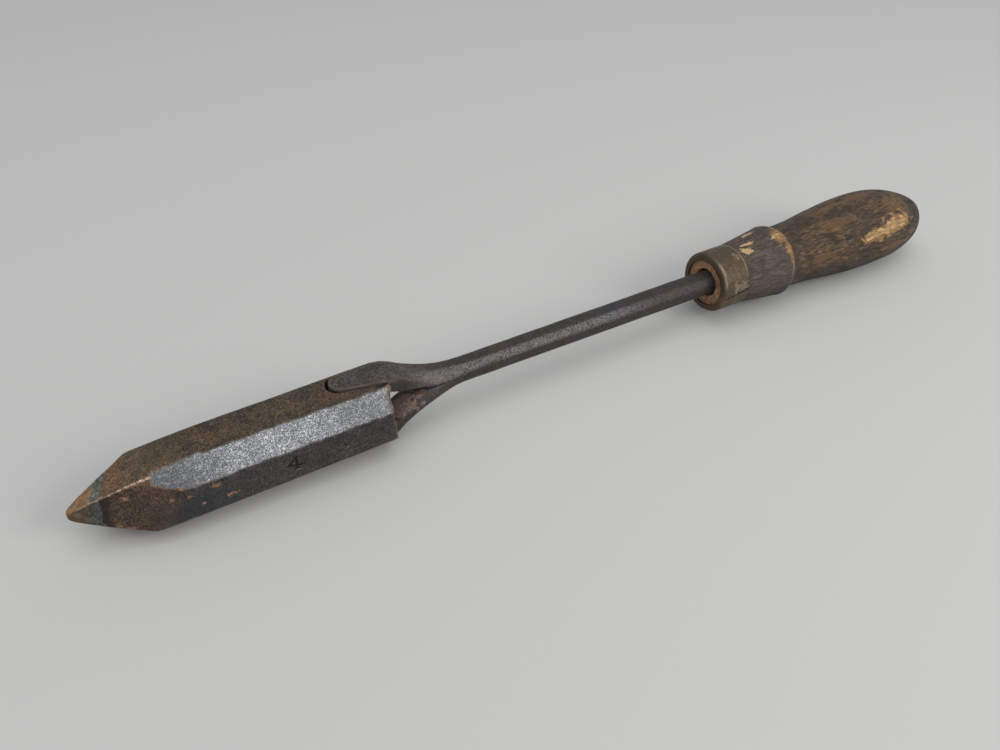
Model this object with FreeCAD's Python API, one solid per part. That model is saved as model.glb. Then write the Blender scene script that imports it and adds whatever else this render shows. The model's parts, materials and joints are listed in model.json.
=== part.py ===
import FreeCAD, Part
import math
import os

# A hand-forged soldering copper: a heavy copper bit held in a forked iron shank, whose
# tang is driven into a turned wooden handle with a metal ferrule.
#
# All sizes are in millimetres. While the pieces are drawn, X is measured from the bit's
# point along the tool to the end of the handle, Z is up from the bench, and the tool lies
# as it does at rest: on the flat underside of the bit and on the belly of the handle.
# On export the pieces move along X, so that the origin is on the bench, midway along.

Vector = FreeCAD.Vector

# Whole tool
total_length = 487.5
handle_axis_z = 21.6

# Copper bit
bit_length = 131.0
bit_half_front = 16.6
bit_half_rear = 17.4
pyramid_length = 44.0
point_chamfer = 0.5
# Outline of the point: distance from its end and half its thickness
point_outline = ((0.0, 1.3), (7.4, 5.0), (15.7, 8.4), (24.5, 11.6), (34.0, 14.9))
point_z = 17.8
point_roll = 9.5
roll_start_x = 28.0
roll_end_x = 46.0
point_end_x = 54.0
point_sections = 19
# Distance across Y plus distance up Z from the middle of the bit to each bevel, at the
# front and at the rear: top near, top far, bottom far and bottom near
bevel_front_x = 25.0
bevel_sums = ((24.4, 26.7), (24.2, 26.7), (24.4, 26.7), (24.3, 23.6))
rear_chamfer = 1.1

# Grooves in the bit's top and bottom faces
groove_nose_x = 109.3
groove_nose_radius = 5.6
groove_nose_y = {"top": 2.8, "bottom": -1.4}
groove_end_gap = 1.3
groove_side_gap = 0.12
groove_rear_half = 7.4
groove_rear_y = {"top": 0.6, "bottom": -0.8}
top_groove_floor = 29.3
bottom_groove_floor = 6.4
groove_ramp_length = 8.0
groove_ramp_rise = 3.8
mouth_flare = 1.1
mouth_flare_length = 5.0

# Forked shank
neck_x = 172.0
neck_radius = 5.85
neck_y = 0.2
neck_z = 21.2
seam_z = 21.9
rod_radius = 6.4
rod_end_x = 332.0
tang_width = 8.4
tang_tip_width = 3.2
tang_end_x = 408.0
section_points = 20
arm_sections = 19
square_on_length = 12.0
# The fork's arms, from the nose to the neck: X, Y and Z of the middle, half the thickness,
# half the width, and how square the outer and the inner half of the section are
upper_stations = (
    (100, 2.8, 31.8, 3.2, 9.5, 5.0, 6.0),
    (118, 2.6, 31.9, 3.2, 9.3, 5.0, 6.0),
    (125, 1.8, 32.1, 3.3, 9.0, 5.0, 6.0),
    (131, 1.1, 32.2, 3.7, 8.4, 5.0, 5.0),
    (136.5, 0.7, 30.6, 4.4, 7.6, 4.8, 4.0),
    (142, 0.5, 28.5, 4.0, 7.1, 4.4, 4.0),
    (148, 0.4, 26.6, 3.5, 6.8, 3.6, 3.4),
    (155, 0.3, 24.4, 3.6, 6.5, 2.8, 2.8),
    (163, 0.2, 22.4, 4.7, 6.1, 2.3, 2.3),
)
lower_stations = (
    (100, -1.4, 4.0, 3.2, 9.5, 4.0, 6.0),
    (118, -1.4, 4.0, 3.2, 9.3, 4.0, 6.0),
    (125, -1.3, 4.1, 3.2, 9.0, 4.0, 5.0),
    (130, -1.2, 5.0, 3.4, 8.2, 4.0, 4.0),
    (135.5, -1.4, 9.2, 3.7, 7.4, 3.6, 3.2),
    (141, -1.7, 13.3, 3.9, 7.2, 3.4, 2.8),
    (148, -1.6, 16.6, 4.1, 7.0, 3.0, 2.6),
    (156, -0.8, 18.6, 4.3, 6.7, 2.6, 2.4),
    (164, 0.0, 20.1, 5.0, 6.2, 2.2, 2.2),
)

# Ferrule
ferrule_front_x = 319.3
ferrule_rear_x = 336.4
ferrule_radius = 16.1
ferrule_wall = 1.2
ferrule_lip_radius = 12.2
ferrule_corner_radius = 2.1
corner_steps = 3

# Wooden handle
turned_step = 0.25
mouth_radius = 7.4
mouth_depth = 6.0
heel_radius = 16.0
shoulder_x = 365.2
shoulder_radius = 19.5
dip_x = 370.6
dip_radius = 17.6
# Outline of the grip behind the shoulder: distance from the bit's point and radius
belly_outline = ((386, 17.8), (408, 20.1), (434, 21.6), (455, 20.3), (467, 17.8))
end_outline = ((476, 14.2), (482.5, 9.8), (486, 5.6), (total_length, 0))


def polygon_face(points):
    """A flat face with straight sides."""
    return Part.Face(Part.makePolygon(points + [points[0]]))


def smooth_curve(points, start=None, end=None):
    """A smooth curve through points, with its end directions if they are given."""
    curve = Part.BSplineCurve()
    if start is None:
        curve.interpolate(points)
    else:
        curve.interpolate(Points=points, InitialTangent=start, FinalTangent=end)
    return curve


def stepped_edges(curve):
    """A curve in short straight steps, which keeps the mesh of a turned surface light."""
    points = curve.discretize(QuasiDeflection=turned_step)
    edges = []
    for first, second in zip(points[:-1], points[1:]):
        edges.append(Part.makeLine(first, second))
    return edges


def flat_sided(first, last):
    """Solid with flat sides between two outlines that have the same number of corners."""
    faces = [polygon_face(first), polygon_face(last)]
    for start in range(len(first)):
        end = (start + 1) % len(first)
        faces.append(polygon_face([first[start], first[end], last[end], last[start]]))
    return Part.makeSolid(Part.makeShell(faces))


def square_corners(x, half, centre_z, roll):
    """Corners of a square across the tool, rolled about its middle."""
    corners = []
    for quarter in range(4):
        angle = roll + math.pi / 4 + quarter * math.pi / 2
        reach = half * math.sqrt(2)
        corners.append(Vector(x, reach * math.cos(angle), centre_z + reach * math.sin(angle)))
    return corners


def forged_point():
    """Four-sided point, a little rolled, that swells and turns square with the body."""
    outline = Part.BSplineCurve()
    stations = list(point_outline)
    stations += [(pyramid_length, bit_half_front), (point_end_x, body_half(point_end_x))]
    outline.interpolate([Vector(x, half, 0) for x, half in stations])
    wires = []
    for place in outline.discretize(Number=point_sections):
        turned_back = min(max((place.x - roll_start_x) / (roll_end_x - roll_start_x), 0.0), 1.0)
        roll = -math.radians(point_roll) * (1 - turned_back ** 2 * (3 - 2 * turned_back))
        share = place.x / pyramid_length
        centre = point_z + (bit_half_front - point_z) * share
        if place.x > pyramid_length:
            centre = place.y
        corners = square_corners(place.x, place.y, centre, roll)
        wires.append(Part.makePolygon(corners + [corners[0]]))
    return Part.makeLoft(wires, True, False)


def body_half(x):
    """Half the bit's thickness, which grows a little towards the rear."""
    slope = (bit_half_rear - bit_half_front) / (bit_length - pyramid_length)
    return bit_half_front + slope * (x - pyramid_length)


def bevel_bar():
    """A long bar set on its corner: its faces are the four bevels of the bit."""
    ends = []
    for x in (-2.0, bit_length + 2.0):
        share = (x - bevel_front_x) / (bit_length - bevel_front_x)
        top_near, top_far, low_far, low_near = [a + (b - a) * share for a, b in bevel_sums]
        centre = body_half(x)
        corners = [Vector(x, (top_far - top_near) / 2, centre + (top_far + top_near) / 2)]
        corners.append(Vector(x, (top_far + low_far) / 2, centre + (top_far - low_far) / 2))
        corners.append(Vector(x, (low_far - low_near) / 2, centre - (low_far + low_near) / 2))
        corners.append(Vector(x, -(low_near + top_near) / 2, centre + (top_near - low_near) / 2))
        ends.append(corners)
    return flat_sided(*ends)


def arm_plan(gap, side, flare):
    """Plan outline of an arm in its groove: a round nose and two straight sides.

    The sides run on past the rear of the bit. The two arms lie a little to either side of
    the middle, as they were forged.
    """
    centre_x = groove_nose_x + groove_nose_radius
    centre_y = groove_nose_y[side]
    radius = groove_nose_radius + gap
    far_x = bit_length + 20.0
    spread = (groove_rear_half - groove_nose_radius) / (bit_length - centre_x)
    drift = (groove_rear_y[side] - groove_nose_y[side]) / (bit_length - centre_x)
    run = far_x - centre_x
    far_y = centre_y + drift * run
    far_half = radius + spread * run
    left = Vector(centre_x, centre_y + radius, 0)
    right = Vector(centre_x, centre_y - radius, 0)
    nose = Part.Arc(left, Vector(centre_x - radius, centre_y, 0), right).toShape()
    far_left = Vector(far_x, far_y + far_half, 0)
    far_right = Vector(far_x, far_y - far_half, 0)
    corners = [right, far_right, far_left, left]
    if flare:
        flare_x = bit_length - mouth_flare_length
        near_half = radius + spread * (flare_x - centre_x)
        near_y = centre_y + drift * (flare_x - centre_x)
        turn = Vector(flare_x, near_y - near_half, 0)
        wide_y = near_y - near_half - mouth_flare
        wide = Vector(bit_length + 2.0, wide_y - mouth_flare * 0.4, 0)
        corners = [right, turn, wide, Vector(far_x, wide.y, 0), far_left, left]
    edges = [nose]
    for first, second in zip(corners[:-1], corners[1:]):
        edges.append(Part.makeLine(first, second))
    return Part.Face(Part.Wire(edges))


def groove(side):
    """The room for one arm: open at the face of the bit and at its rear."""
    plan = arm_plan(groove_side_gap, side, side == "top")
    tall = Vector(0, 0, 60)
    room = plan.extrude(tall)
    room.translate(Vector(0, 0, -10))
    nose = plan.extrude(tall)
    nose.translate(Vector(-groove_end_gap, 0, -10))
    end_x = groove_nose_x + groove_nose_radius + 2.0
    nose = nose.common(Part.makeBox(end_x, 80, 80, Vector(0, -40, -20)))
    room = room.fuse(nose)
    if side == "top":
        profile = [(90, top_groove_floor), (150, top_groove_floor), (150, 50), (90, 50)]
    else:
        ramp_x = bit_length - groove_ramp_length
        rise = bottom_groove_floor + groove_ramp_rise
        profile = [(90, bottom_groove_floor), (ramp_x, bottom_groove_floor)]
        profile += [(bit_length + 0.5, rise), (150, rise), (150, -9), (90, -9)]
    face = polygon_face([Vector(x, -30, z) for x, z in profile])
    return room.common(face.extrude(Vector(0, 60, 0)))


def copper_bit():
    """Square pyramid running into a bevelled square bar, with a groove above and below."""
    point = forged_point()
    front_edges = [edge for edge in point.Edges if edge.BoundBox.XMax < point_outline[0][0] + 0.1]
    point = point.makeChamfer(point_chamfer, front_edges)
    ends = []
    for x in (point_end_x, bit_length):
        ends.append(square_corners(x, body_half(x), body_half(x), 0.0))
    body = point.fuse(flat_sided(*ends))
    body = body.common(bevel_bar())
    rear_edges = []
    for edge in body.Edges:
        if min(vertex.X for vertex in edge.Vertexes) > bit_length - 0.01:
            rear_edges.append(edge)
    body = body.makeChamfer(rear_chamfer, rear_edges)
    return body.cut(groove("top")).cut(groove("bottom"))


def arm_section(point, slope, sizes, outward):
    """Closed curve across an arm, square to its run.

    Each half of the curve is a superellipse: power 2 is round and a high power is boxy.
    outward is 1 where the outer face looks up and -1 where it looks down.
    """
    half_thick, half_width, outer_power, inner_power = sizes
    points = []
    for step in range(section_points):
        angle = 2 * math.pi * step / section_points
        side_way = math.cos(angle)
        face_way = math.sin(angle)
        power = outer_power if face_way * outward >= 0 else inner_power
        across = half_width * math.copysign(abs(side_way) ** (2 / power), side_way)
        through = half_thick * math.copysign(abs(face_way) ** (2 / power), face_way)
        shift = Vector(-through * math.sin(slope), across, through * math.cos(slope))
        points.append(point.add(shift))
    curve = Part.BSplineCurve()
    curve.interpolate(Points=points, PeriodicFlag=True)
    return Part.Wire([curve.toShape()])


def smooth_values(stations, first, second):
    """Smooth curve over X through two of the columns of a table of stations."""
    curve = Part.BSplineCurve()
    points = [Vector(row[0], row[first], row[second]) for row in stations]
    curve.interpolate(Points=points, Parameters=[float(row[0]) for row in stations])
    return curve


def arm(stations, outward):
    """One arm of the fork, lofted from its nose to the round neck.

    Each station gives X, Y and Z of the middle, half the thickness, half the width, and
    the powers of the outer and the inner half of the section.
    """
    middle = smooth_values(stations, 1, 2)
    sizes = smooth_values(stations, 3, 4)
    powers = smooth_values(stations, 5, 6)
    first_x, last_x = stations[0][0], stations[-1][0]
    wires = []
    for step in range(arm_sections):
        x = first_x + (last_x - first_x) * step / (arm_sections - 1)
        way = middle.tangent(x)[0]
        square_on = min(1.0, (last_x - x) / square_on_length)
        slope = math.atan2(way.z, way.x) * square_on
        size = sizes.value(x)
        power = powers.value(x)
        wires.append(arm_section(middle.value(x), slope, (size.y, size.z, power.y, power.z), outward))
    return Part.makeLoft(wires, True, False)


def forked_shank():
    """Round rod split into two flat arms at the front and drawn to a square tang behind."""
    neck = (neck_x, neck_y, neck_z, neck_radius, neck_radius, 2, 2)
    upper_arm = trim_nose(arm(list(upper_stations) + [neck], 1), "top")
    lower_arm = trim_nose(arm(list(lower_stations) + [neck], -1), "bottom")
    start_x = upper_stations[0][0] - 5.0
    past_neck_x = neck_x + 5.0
    upper_arm = upper_arm.cut(block(start_x, past_neck_x, -20, seam_z))
    lower_arm = lower_arm.cut(block(start_x, past_neck_x, seam_z, 60))
    ramp_x = bit_length - groove_ramp_length
    upper_arm = upper_arm.cut(block(start_x, bit_length + 0.05, -20, top_groove_floor))
    lower_arm = lower_arm.cut(block(start_x, ramp_x, bottom_groove_floor, 60))
    return upper_arm.fuse([lower_arm, rod_and_tang()]).removeSplitter()


def block(first_x, last_x, low_z, high_z):
    """Plain block across the tool, for cutting pieces flat."""
    return Part.makeBox(last_x - first_x, 80, high_z - low_z, Vector(first_x, -40, low_z))


def trim_nose(shape, side):
    """Gives an arm its round nose and the straight sides that fit the groove."""
    plan = arm_plan(0.0, side, False).extrude(Vector(0, 0, 80))
    plan.translate(Vector(0, 0, -20))
    rest = Part.makeBox(60, 80, 80, Vector(bit_length + 3.0, -40, -20))
    return shape.common(plan.fuse(rest))


def rod_and_tang():
    """Round rod from the neck to inside the handle, with the square tang behind it."""
    places = [Vector(neck_x, neck_y, neck_z), axis_point(ferrule_front_x, 0)]
    places.append(axis_point(rod_end_x, 0))
    rings = []
    for place, radius in zip(places, (neck_radius, rod_radius, rod_radius)):
        rings.append(arm_section(place, 0.0, (radius, radius, 2, 2), 1))
    pieces = []
    for first, second in zip(rings[:-1], rings[1:]):
        pieces.append(Part.makeLoft([first, second], True, True))
    tang_ends = []
    for x, width in ((rod_end_x, tang_width), (tang_end_x, tang_tip_width)):
        tang_ends.append(square_corners(x, width / 2, handle_axis_z, 0.0))
    return pieces[0].fuse(pieces[1:] + [flat_sided(*tang_ends)])


def turned(edges):
    """Solid turned about the handle's axis from an outline in X and Z."""
    face = Part.Face(Part.Wire(Part.__sortEdges__(edges)))
    return face.revolve(Vector(0, 0, handle_axis_z), Vector(1, 0, 0), 360)


def axis_point(x, radius):
    """Point at a radius straight above the handle's axis."""
    return Vector(x, 0, handle_axis_z + radius)


def outline_lines(points):
    """Straight edges through points of a turned outline."""
    edges = []
    for first, second in zip(points[:-1], points[1:]):
        edges.append(Part.makeLine(axis_point(*first), axis_point(*second)))
    return edges


def ferrule():
    """Drawn tube with its front edge turned in over the end of the wood."""
    inner = ferrule_radius - ferrule_wall
    back_of_lip = ferrule_front_x + ferrule_wall
    points = [(ferrule_rear_x, inner), (back_of_lip, inner), (back_of_lip, ferrule_lip_radius)]
    points.append((ferrule_front_x, ferrule_lip_radius))
    for step in range(corner_steps + 1):
        angle = math.pi / 2 * step / corner_steps
        x = ferrule_front_x + ferrule_corner_radius * (1 - math.cos(angle))
        radius = ferrule_radius - ferrule_corner_radius * (1 - math.sin(angle))
        points.append((x, radius))
    points += [(ferrule_rear_x, ferrule_radius), (ferrule_rear_x, inner)]
    return turned(outline_lines(points))


def wooden_handle():
    """Turned handle: neck in the ferrule, cone, shoulder ridge, waist and rounded belly."""
    neck = ferrule_radius - ferrule_wall
    start_x = ferrule_front_x + ferrule_wall
    heel_x = ferrule_rear_x + 0.15
    points = [(start_x, 0), (start_x, neck), (heel_x, neck), (heel_x, heel_radius - 0.25)]
    points.append((heel_x + 0.3, heel_radius))
    edges = outline_lines(points)
    cone_end = (shoulder_x - 2.6, shoulder_radius - 0.35)
    edges += outline_lines([points[-1], cone_end])
    ridge = [axis_point(*cone_end), axis_point(shoulder_x, shoulder_radius)]
    ridge.append(axis_point(shoulder_x + 2.6, shoulder_radius - 1.2))
    ridge.append(axis_point(dip_x, dip_radius))
    edges += stepped_edges(smooth_curve(ridge))
    belly = [axis_point(dip_x, dip_radius)]
    for x, radius in belly_outline + end_outline:
        belly.append(axis_point(x, radius))
    edges += stepped_edges(smooth_curve(belly, Vector(1, 0, -0.05), Vector(0, 0, -1)))
    edges.append(Part.makeLine(axis_point(total_length, 0), axis_point(start_x, 0)))
    body = turned(edges)
    mouth_start = axis_point(start_x - 1, 0)
    mouth = Part.makeCylinder(mouth_radius, mouth_depth + 1, mouth_start, Vector(1, 0, 0))
    return body.cut(mouth).cut(rod_and_tang())


nodes = {
    "copper_bit": copper_bit,
    "forked_shank": forked_shank,
    "ferrule": ferrule,
    "wooden_handle": wooden_handle,
}

os.makedirs("parts", exist_ok=True)
for name, make in nodes.items():
    shape = make()
    shape.translate(Vector(-total_length / 2, 0, 0))
    box = shape.BoundBox
    print(name, "solids", len(shape.Solids), "valid", shape.isValid(), "volume", round(shape.Volume))
    print("  box", [round(v, 2) for v in (box.XMin, box.XMax, box.YMin, box.YMax, box.ZMin, box.ZMax)])
    shape.exportStep("parts/" + name + ".step")
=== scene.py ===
# %% [markdown]
# # A forged soldering copper
# The object is a heavy copper bit held in a forked iron shank, whose tang is driven into a
# turned wooden handle with a metal ferrule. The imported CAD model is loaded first, because
# every piece made here is laid over one of its nodes, in the same frame and in metres.

import json
import math

import bmesh
import bpy
import numpy as np
from mathutils import Matrix, Vector, noise
from mathutils.bvhtree import BVHTree

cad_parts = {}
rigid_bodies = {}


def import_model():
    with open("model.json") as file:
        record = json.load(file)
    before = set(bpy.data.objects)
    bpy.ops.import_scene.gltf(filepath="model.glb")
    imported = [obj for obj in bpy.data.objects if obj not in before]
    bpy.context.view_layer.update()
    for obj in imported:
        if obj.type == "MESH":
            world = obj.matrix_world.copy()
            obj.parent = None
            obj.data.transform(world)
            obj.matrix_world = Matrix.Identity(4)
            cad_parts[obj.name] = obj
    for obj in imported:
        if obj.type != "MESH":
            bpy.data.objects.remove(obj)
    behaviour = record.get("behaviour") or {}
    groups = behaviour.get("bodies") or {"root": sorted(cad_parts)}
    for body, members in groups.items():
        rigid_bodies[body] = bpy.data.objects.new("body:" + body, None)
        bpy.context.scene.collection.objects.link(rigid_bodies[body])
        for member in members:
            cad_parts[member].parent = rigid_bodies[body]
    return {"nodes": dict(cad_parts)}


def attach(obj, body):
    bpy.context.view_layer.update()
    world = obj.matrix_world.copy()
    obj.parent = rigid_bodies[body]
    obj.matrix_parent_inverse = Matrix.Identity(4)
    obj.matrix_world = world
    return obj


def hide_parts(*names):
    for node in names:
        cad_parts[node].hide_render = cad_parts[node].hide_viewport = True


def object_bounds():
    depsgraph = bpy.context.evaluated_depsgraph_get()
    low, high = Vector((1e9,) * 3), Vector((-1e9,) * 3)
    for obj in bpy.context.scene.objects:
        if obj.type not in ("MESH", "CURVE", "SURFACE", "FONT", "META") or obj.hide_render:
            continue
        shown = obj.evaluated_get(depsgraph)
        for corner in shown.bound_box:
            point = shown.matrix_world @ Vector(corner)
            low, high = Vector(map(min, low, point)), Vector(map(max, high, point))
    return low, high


for leftover in list(bpy.data.objects):
    bpy.data.objects.remove(leftover)
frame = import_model()
cad_low, cad_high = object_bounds()
print("nodes", sorted(frame["nodes"]))
print("box of the solids in mm", [round(v * 1000, 1) for v in list(cad_low) + list(cad_high)])

# %% [markdown]
# Sizes along the tool are easiest to read from the bit's point, so the sizes below are
# millimetres from there. The frame's origin is midway along the tool, half its length on.

# %% Sizes along the tool
mm = 0.001
half_length = 243.75
ridge_x = 365.2
axis_z = 21.6


def tool_point(x, y, z):
    """Turns millimetres from the bit's point into the frame's metres."""
    return Vector(((x - half_length) * mm, y * mm, z * mm))


print("the bit's point is at", [round(v, 4) for v in tool_point(0, 0, 17.8)])

# %% [markdown]
# The camera stands where the photograph was taken from: in front of the bit, looking down
# along the tool. It is placed by its position and by the three turns of its head, because
# these can be found from the picture, and a Track To constraint could not hold the roll.

# %% The camera
camera_place = Vector((-0.2360, -0.27996, 0.28049))
camera_yaw, camera_pitch, camera_roll = (math.radians(a) for a in (33.547, 38.91, 2.568))
ahead = Vector((math.sin(camera_yaw) * math.cos(camera_pitch),
                math.cos(camera_yaw) * math.cos(camera_pitch), -math.sin(camera_pitch)))
level_right = Vector((math.cos(camera_yaw), -math.sin(camera_yaw), 0))
level_up = level_right.cross(ahead)
right = level_right * math.cos(camera_roll) + level_up * math.sin(camera_roll)
up = level_up * math.cos(camera_roll) - level_right * math.sin(camera_roll)
camera_data = bpy.data.cameras.new("camera")
camera_data.sensor_width = 36.0
camera_data.lens = 32.727
camera_data.clip_start = 0.01
camera = bpy.data.objects.new("camera", camera_data)
camera.matrix_world = Matrix.Translation(camera_place) @ Matrix((right, up, -ahead)).transposed().to_4x4()
bpy.context.collection.objects.link(camera)
bpy.context.scene.camera = camera
print("camera looks along", [round(v, 3) for v in ahead])

# %% [markdown]
# Node trees are long to write one call at a time. Two small helpers keep them readable: one
# adds a node and fills or links its inputs by name, and one does the same for sums.

# %% Helpers for node trees


def put(tree, kind, settings=None, **inputs):
    """Adds a node. An input is a plain value, or a socket that is linked to it."""
    made = tree.nodes.new(kind)
    for name, value in (settings or {}).items():
        setattr(made, name, value)
    for name, value in inputs.items():
        socket = made.inputs[name.replace("_", " ")]
        if isinstance(value, bpy.types.NodeSocket):
            tree.links.new(value, socket)
        else:
            socket.default_value = value
    return made


def sums(tree, operation, *values, clamp=False):
    """Adds a Math node and gives its output."""
    made = tree.nodes.new("ShaderNodeMath")
    made.operation = operation
    made.use_clamp = clamp
    for socket, value in zip(made.inputs, values):
        if isinstance(value, bpy.types.NodeSocket):
            tree.links.new(value, socket)
        else:
            socket.default_value = value
    return made.outputs[0]


def vector_sums(tree, operation, *values):
    """Adds a Vector Math node and gives its output."""
    made = tree.nodes.new("ShaderNodeVectorMath")
    made.operation = operation
    for socket, value in zip(made.inputs, values):
        if isinstance(value, bpy.types.NodeSocket):
            tree.links.new(value, socket)
        else:
            socket.default_value = value
    return made.outputs["Value"] if operation in ("LENGTH", "DISTANCE") else made.outputs[0]


def step_between(tree, value, low, high, out_low=0.0, out_high=1.0):
    """A soft step from one value to another as the input goes from low to high."""
    made = put(tree, "ShaderNodeMapRange", {"interpolation_type": "SMOOTHSTEP"})
    for socket, given in zip(made.inputs[:5], (value, low, high, out_low, out_high)):
        if isinstance(given, bpy.types.NodeSocket):
            tree.links.new(given, socket)
        else:
            socket.default_value = given
    return made.outputs[0]


def mixed(tree, share, first, second):
    """Mixes two colours by a share."""
    made = put(tree, "ShaderNodeMix", {"data_type": "RGBA"})
    for index, given in ((0, share), (6, first), (7, second)):
        socket = made.inputs[index]
        if isinstance(given, bpy.types.NodeSocket):
            tree.links.new(given, socket)
        else:
            socket.default_value = given if index == 0 else (*given, 1.0)
    return made.outputs[2]


def new_group(name, inputs, outputs):
    """Starts a shader node group with named sockets."""
    group = bpy.data.node_groups.new(name, "ShaderNodeTree")
    kinds = {"value": "NodeSocketFloat", "vector": "NodeSocketVector", "colour": "NodeSocketColor"}
    for title, kind, start in inputs:
        socket = group.interface.new_socket(title, in_out="INPUT", socket_type=kinds[kind])
        if start is not None:
            socket.default_value = start
    for title, kind in outputs:
        group.interface.new_socket(title, in_out="OUTPUT", socket_type=kinds[kind])
    source = group.nodes.new("NodeGroupInput").outputs
    sink = group.nodes.new("NodeGroupOutput").inputs
    return group, source, sink


def use(tree, group, **inputs):
    """Places a group in a tree and gives its first output."""
    made = put(tree, "ShaderNodeGroup", {"node_tree": group}, **inputs)
    return made.outputs[0]


print("helpers ready")

# %% [markdown]
# Old metal and old wood share a few effects, so each is a node group with named inputs.
# Patches are soft islands of another colour. Speckle is a grain of light and dark points.
# Chips are small scattered flakes. A mark is one spot at a chosen place with a ragged edge.
# Every size is in millimetres, because the materials read Object coordinates turned into
# millimetres from the bit's point.

# %% Group: patches
patches, src, out = new_group("patches", [("Vector", "vector", None), ("Size", "value", 10.0),
                              ("Share", "value", 0.5), ("Softness", "value", 0.1),
                              ("Seed", "value", 0.0)], [("Mask", "value")])
field = put(patches, "ShaderNodeTexNoise", {"noise_dimensions": "4D"}, Vector=src["Vector"],
            W=src["Seed"], Scale=sums(patches, "DIVIDE", 1.0, src["Size"]), Detail=6.0, Roughness=0.62)
edge_at = sums(patches, "SUBTRACT", 0.72, sums(patches, "MULTIPLY", src["Share"], 0.44))
low_edge = sums(patches, "SUBTRACT", edge_at, src["Softness"])
high_edge = sums(patches, "ADD", edge_at, src["Softness"])
patches.links.new(step_between(patches, field.outputs[0], low_edge, high_edge), out["Mask"])
print("patches has", len(patches.nodes), "nodes")

# %% Group: speckle
speckle, src, out = new_group("speckle", [("Vector", "vector", None), ("Size", "value", 1.0),
                              ("Contrast", "value", 0.15), ("Seed", "value", 0.0)], [("Mask", "value")])
field = put(speckle, "ShaderNodeTexNoise", {"noise_dimensions": "4D"}, Vector=src["Vector"],
            W=src["Seed"], Scale=sums(speckle, "DIVIDE", 1.0, src["Size"]), Detail=3.0, Roughness=0.7)
low_edge = sums(speckle, "SUBTRACT", 0.5, src["Contrast"])
high_edge = sums(speckle, "ADD", 0.5, src["Contrast"])
speckle.links.new(step_between(speckle, field.outputs[0], low_edge, high_edge), out["Mask"])
print("speckle has", len(speckle.nodes), "nodes")

# %% Group: chips
chips, src, out = new_group("chips", [("Vector", "vector", None), ("Spacing", "value", 10.0),
                            ("Radius", "value", 0.2), ("Share", "value", 0.3)], [("Mask", "value")])
wobble = put(chips, "ShaderNodeTexNoise", Vector=src["Vector"], Scale=0.9, Detail=2.0)
pushed = vector_sums(chips, "MULTIPLY_ADD", wobble.outputs["Color"], (1.6,) * 3, src["Vector"])
cells = put(chips, "ShaderNodeTexVoronoi", Vector=pushed, Scale=sums(chips, "DIVIDE", 1.0, src["Spacing"]),
            Randomness=1.0)
pick = put(chips, "ShaderNodeSeparateColor", Color=cells.outputs["Color"])
chosen = sums(chips, "LESS_THAN", pick.outputs[0], src["Share"])
reach = sums(chips, "MULTIPLY", src["Radius"], sums(chips, "ADD", 0.4, pick.outputs[1]))
inside = step_between(chips, cells.outputs["Distance"], reach, sums(chips, "MULTIPLY", reach, 0.7), 0.0, 1.0)
chips.links.new(sums(chips, "MULTIPLY", chosen, inside), out["Mask"])
print("chips has", len(chips.nodes), "nodes")

# %% Group: mark
mark, src, out = new_group("mark", [("Vector", "vector", None), ("Centre", "vector", None),
                           ("Size", "vector", (5.0, 5.0, 5.0)), ("Ragged", "value", 0.5),
                           ("Grain", "value", 1.5)], [("Mask", "value")])
offset = vector_sums(mark, "SUBTRACT", src["Vector"], src["Centre"])
apart = vector_sums(mark, "LENGTH", vector_sums(mark, "DIVIDE", offset, src["Size"]))
rough = put(mark, "ShaderNodeTexNoise", Vector=src["Vector"], Scale=sums(mark, "DIVIDE", 1.0, src["Grain"]),
            Detail=4.0, Roughness=0.65)
shift = sums(mark, "MULTIPLY", sums(mark, "SUBTRACT", rough.outputs[0], 0.5), sums(mark, "MULTIPLY", src["Ragged"], 3.0))
mark.links.new(step_between(mark, sums(mark, "ADD", apart, shift), 0.85, 1.05, 1.0, 0.0), out["Mask"])
print("mark has", len(mark.nodes), "nodes")

# %% Starting a material


def new_material(name):
    """Starts a material and gives its tree, its shader and millimetres from the bit's point."""
    material = bpy.data.materials.new(name)
    material.use_nodes = True
    tree = material.node_tree
    shader = tree.nodes["Principled BSDF"]
    here = tree.nodes.new("ShaderNodeTexCoord").outputs["Object"]
    place = vector_sums(tree, "MULTIPLY_ADD", here, (1000, 1000, 1000), (half_length, 0, 0))
    return material, tree, shader, place


def kept(tree, name):
    """Reads a number that was stored on the points of a piece."""
    return put(tree, "ShaderNodeAttribute", {"attribute_name": name}).outputs["Fac"]


def layered(tree, colour, *layers):
    """Lays colours over a first one. Each layer is a mask, a colour and a strength."""
    for share, tint, strength in layers:
        colour = mixed(tree, sums(tree, "MULTIPLY", share, strength, clamp=True), colour, tint)
    return colour


def marks_at(tree, place, *spots, grain=1.5, stretch=1.0):
    """Several marks in one mask. Each is a centre, a size, and how ragged its edge is."""
    total = None
    if stretch != 1.0:
        place = vector_sums(tree, "MULTIPLY", place, (stretch, 1.0, 1.0))
    for centre, size, ragged in spots:
        centre = (centre[0] * stretch, centre[1], centre[2])
        size = (size[0] * stretch, size[1], size[2])
        one = use(tree, mark, Vector=place, Centre=centre, Size=size, Ragged=ragged, Grain=grain)
        total = one if total is None else sums(tree, "MAXIMUM", total, one)
    return total


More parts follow.
